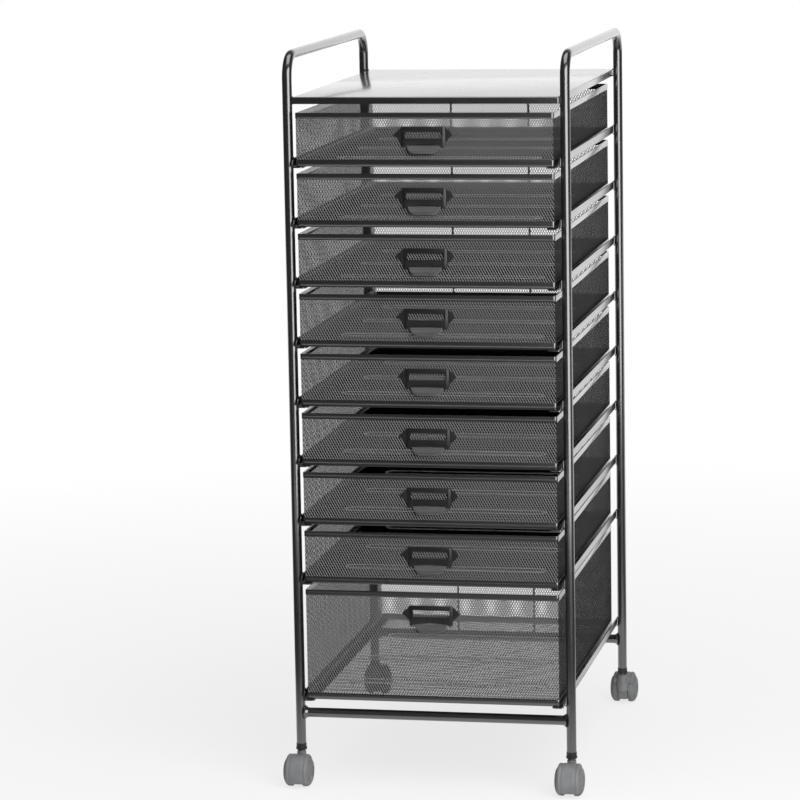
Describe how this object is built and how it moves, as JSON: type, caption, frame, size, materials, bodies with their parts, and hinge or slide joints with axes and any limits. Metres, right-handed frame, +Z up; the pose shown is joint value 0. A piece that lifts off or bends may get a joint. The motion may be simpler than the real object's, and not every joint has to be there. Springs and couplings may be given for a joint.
{
  "type": "mobile file cart",
  "caption": "Tall rolling cart with a bent tube frame, a flat top shelf, mesh drawers that slide on steel runners, and swivel casters.",
  "frame": {"origin": "on the floor, under the middle of the cart", "axes": "+Z up, +X to the right seen from the front, drawers open towards -Y"},
  "size_m": [0.399, 0.5594, 0.9661],
  "materials": {
    "black_powder_coat": "semi-gloss black powder coat on steel tube",
    "shelf_coat": "smooth semi-gloss black powder coat on sheet steel",
    "runner_coat": "semi-gloss black powder coat, rubbed along the ledge",
    "mesh_coat": "satin black powder coat on expanded steel mesh",
    "pull_plastic": "fine-grained black moulded plastic",
    "caster_grey": "grey moulded nylon",
    "wheel_grey": "dark grey moulded nylon tread",
    "stem_steel": "zinc plated"
  },
  "bodies": {
    "frame": {"left_side_tube": "black_powder_coat", "right_side_tube": "black_powder_coat", "front_cross_bar": "black_powder_coat", "rear_cross_bar": "black_powder_coat", "top_shelf": "shelf_coat", "rear_stop_rod_left": "black_powder_coat", "rear_stop_rod_right": "black_powder_coat", "runner_left_1": "runner_coat", "runner_left_2": "runner_coat", "runner_left_3": "runner_coat", "runner_left_4": "runner_coat", "runner_left_5": "runner_coat", "runner_left_6": "runner_coat", "runner_left_7": "runner_coat", "runner_left_8": "runner_coat", "runner_left_9": "runner_coat", "runner_right_1": "runner_coat", "runner_right_2": "runner_coat", "runner_right_3": "runner_coat", "runner_right_4": "runner_coat", "runner_right_5": "runner_coat", "runner_right_6": "runner_coat", "runner_right_7": "runner_coat", "runner_right_8": "runner_coat", "runner_right_9": "runner_coat", "caster_front_left_stem": "stem_steel", "caster_front_right_stem": "stem_steel", "caster_rear_left_stem": "stem_steel", "caster_rear_right_stem": "stem_steel"},
    "drawer_unit_1": {"drawer_1": "mesh_coat", "drawer_pull_1": "pull_plastic"},
    "drawer_unit_2": {"drawer_2": "mesh_coat", "drawer_pull_2": "pull_plastic"},
    "drawer_unit_3": {"drawer_3": "mesh_coat", "drawer_pull_3": "pull_plastic"},
    "drawer_unit_4": {"drawer_4": "mesh_coat", "drawer_pull_4": "pull_plastic"},
    "drawer_unit_5": {"drawer_5": "mesh_coat", "drawer_pull_5": "pull_plastic"},
    "drawer_unit_6": {"drawer_6": "mesh_coat", "drawer_pull_6": "pull_plastic"},
    "drawer_unit_7": {"drawer_7": "mesh_coat", "drawer_pull_7": "pull_plastic"},
    "drawer_unit_8": {"drawer_8": "mesh_coat", "drawer_pull_8": "pull_plastic"},
    "drawer_unit_9": {"drawer_9": "mesh_coat", "drawer_pull_9": "pull_plastic"},
    "swivel_front_left": {"caster_front_left_hood": "caster_grey"},
    "swivel_front_right": {"caster_front_right_hood": "caster_grey"},
    "swivel_rear_left": {"caster_rear_left_hood": "caster_grey"},
    "swivel_rear_right": {"caster_rear_right_hood": "caster_grey"},
    "roller_front_left_left": {"caster_front_left_wheel_left": "wheel_grey"},
    "roller_front_left_right": {"caster_front_left_wheel_right": "wheel_grey"},
    "roller_front_right_left": {"caster_front_right_wheel_left": "wheel_grey"},
    "roller_front_right_right": {"caster_front_right_wheel_right": "wheel_grey"},
    "roller_rear_left_left": {"caster_rear_left_wheel_left": "wheel_grey"},
    "roller_rear_left_right": {"caster_rear_left_wheel_right": "wheel_grey"},
    "roller_rear_right_left": {"caster_rear_right_wheel_left": "wheel_grey"},
    "roller_rear_right_right": {"caster_rear_right_wheel_right": "wheel_grey"}
  },
  "joints": [
    {"name": "drawer_slide_1", "type": "slide", "parent": "frame", "child": "drawer_unit_1", "axis": [0, -1, 0], "range_m": [0, 0.3]},
    {"name": "drawer_slide_2", "type": "slide", "parent": "frame", "child": "drawer_unit_2", "axis": [0, -1, 0], "range_m": [0, 0.3]},
    {"name": "drawer_slide_3", "type": "slide", "parent": "frame", "child": "drawer_unit_3", "axis": [0, -1, 0], "range_m": [0, 0.3]},
    {"name": "drawer_slide_4", "type": "slide", "parent": "frame", "child": "drawer_unit_4", "axis": [0, -1, 0], "range_m": [0, 0.3]},
    {"name": "drawer_slide_5", "type": "slide", "parent": "frame", "child": "drawer_unit_5", "axis": [0, -1, 0], "range_m": [0, 0.3]},
    {"name": "drawer_slide_6", "type": "slide", "parent": "frame", "child": "drawer_unit_6", "axis": [0, -1, 0], "range_m": [0, 0.3]},
    {"name": "drawer_slide_7", "type": "slide", "parent": "frame", "child": "drawer_unit_7", "axis": [0, -1, 0], "range_m": [0, 0.3]},
    {"name": "drawer_slide_8", "type": "slide", "parent": "frame", "child": "drawer_unit_8", "axis": [0, -1, 0], "range_m": [0, 0.3]},
    {"name": "drawer_slide_9", "type": "slide", "parent": "frame", "child": "drawer_unit_9", "axis": [0, -1, 0], "range_m": [0, 0.3]},
    {"name": "swivel_front_left", "type": "hinge", "parent": "frame", "child": "swivel_front_left", "pos_m": [-0.1805, -0.238, 0.04], "axis": [0, 0, 1], "continuous": true},
    {"name": "swivel_front_right", "type": "hinge", "parent": "frame", "child": "swivel_front_right", "pos_m": [0.1805, -0.238, 0.04], "axis": [0, 0, 1], "continuous": true},
    {"name": "swivel_rear_left", "type": "hinge", "parent": "frame", "child": "swivel_rear_left", "pos_m": [-0.1805, 0.238, 0.04], "axis": [0, 0, 1], "continuous": true},
    {"name": "swivel_rear_right", "type": "hinge", "parent": "frame", "child": "swivel_rear_right", "pos_m": [0.1805, 0.238, 0.04], "axis": [0, 0, 1], "continuous": true},
    {"name": "roll_front_left_left", "type": "hinge", "parent": "swivel_front_left", "child": "roller_front_left_left", "pos_m": [-0.1805, -0.257, 0.02], "axis": [1, 0, 0], "continuous": true},
    {"name": "roll_front_left_right", "type": "hinge", "parent": "swivel_front_left", "child": "roller_front_left_right", "pos_m": [-0.1805, -0.257, 0.02], "axis": [1, 0, 0], "continuous": true},
    {"name": "roll_front_right_left", "type": "hinge", "parent": "swivel_front_right", "child": "roller_front_right_left", "pos_m": [0.1805, -0.257, 0.02], "axis": [1, 0, 0], "continuous": true},
    {"name": "roll_front_right_right", "type": "hinge", "parent": "swivel_front_right", "child": "roller_front_right_right", "pos_m": [0.1805, -0.257, 0.02], "axis": [1, 0, 0], "continuous": true},
    {"name": "roll_rear_left_left", "type": "hinge", "parent": "swivel_rear_left", "child": "roller_rear_left_left", "pos_m": [-0.1805, 0.257, 0.02], "axis": [1, 0, 0], "continuous": true},
    {"name": "roll_rear_left_right", "type": "hinge", "parent": "swivel_rear_left", "child": "roller_rear_left_right", "pos_m": [-0.1805, 0.257, 0.02], "axis": [1, 0, 0], "continuous": true},
    {"name": "roll_rear_right_left", "type": "hinge", "parent": "swivel_rear_right", "child": "roller_rear_right_left", "pos_m": [0.1805, 0.257, 0.02], "axis": [1, 0, 0], "continuous": true},
    {"name": "roll_rear_right_right", "type": "hinge", "parent": "swivel_rear_right", "child": "roller_rear_right_right", "pos_m": [0.1805, 0.257, 0.02], "axis": [1, 0, 0], "continuous": true}
  ]
}
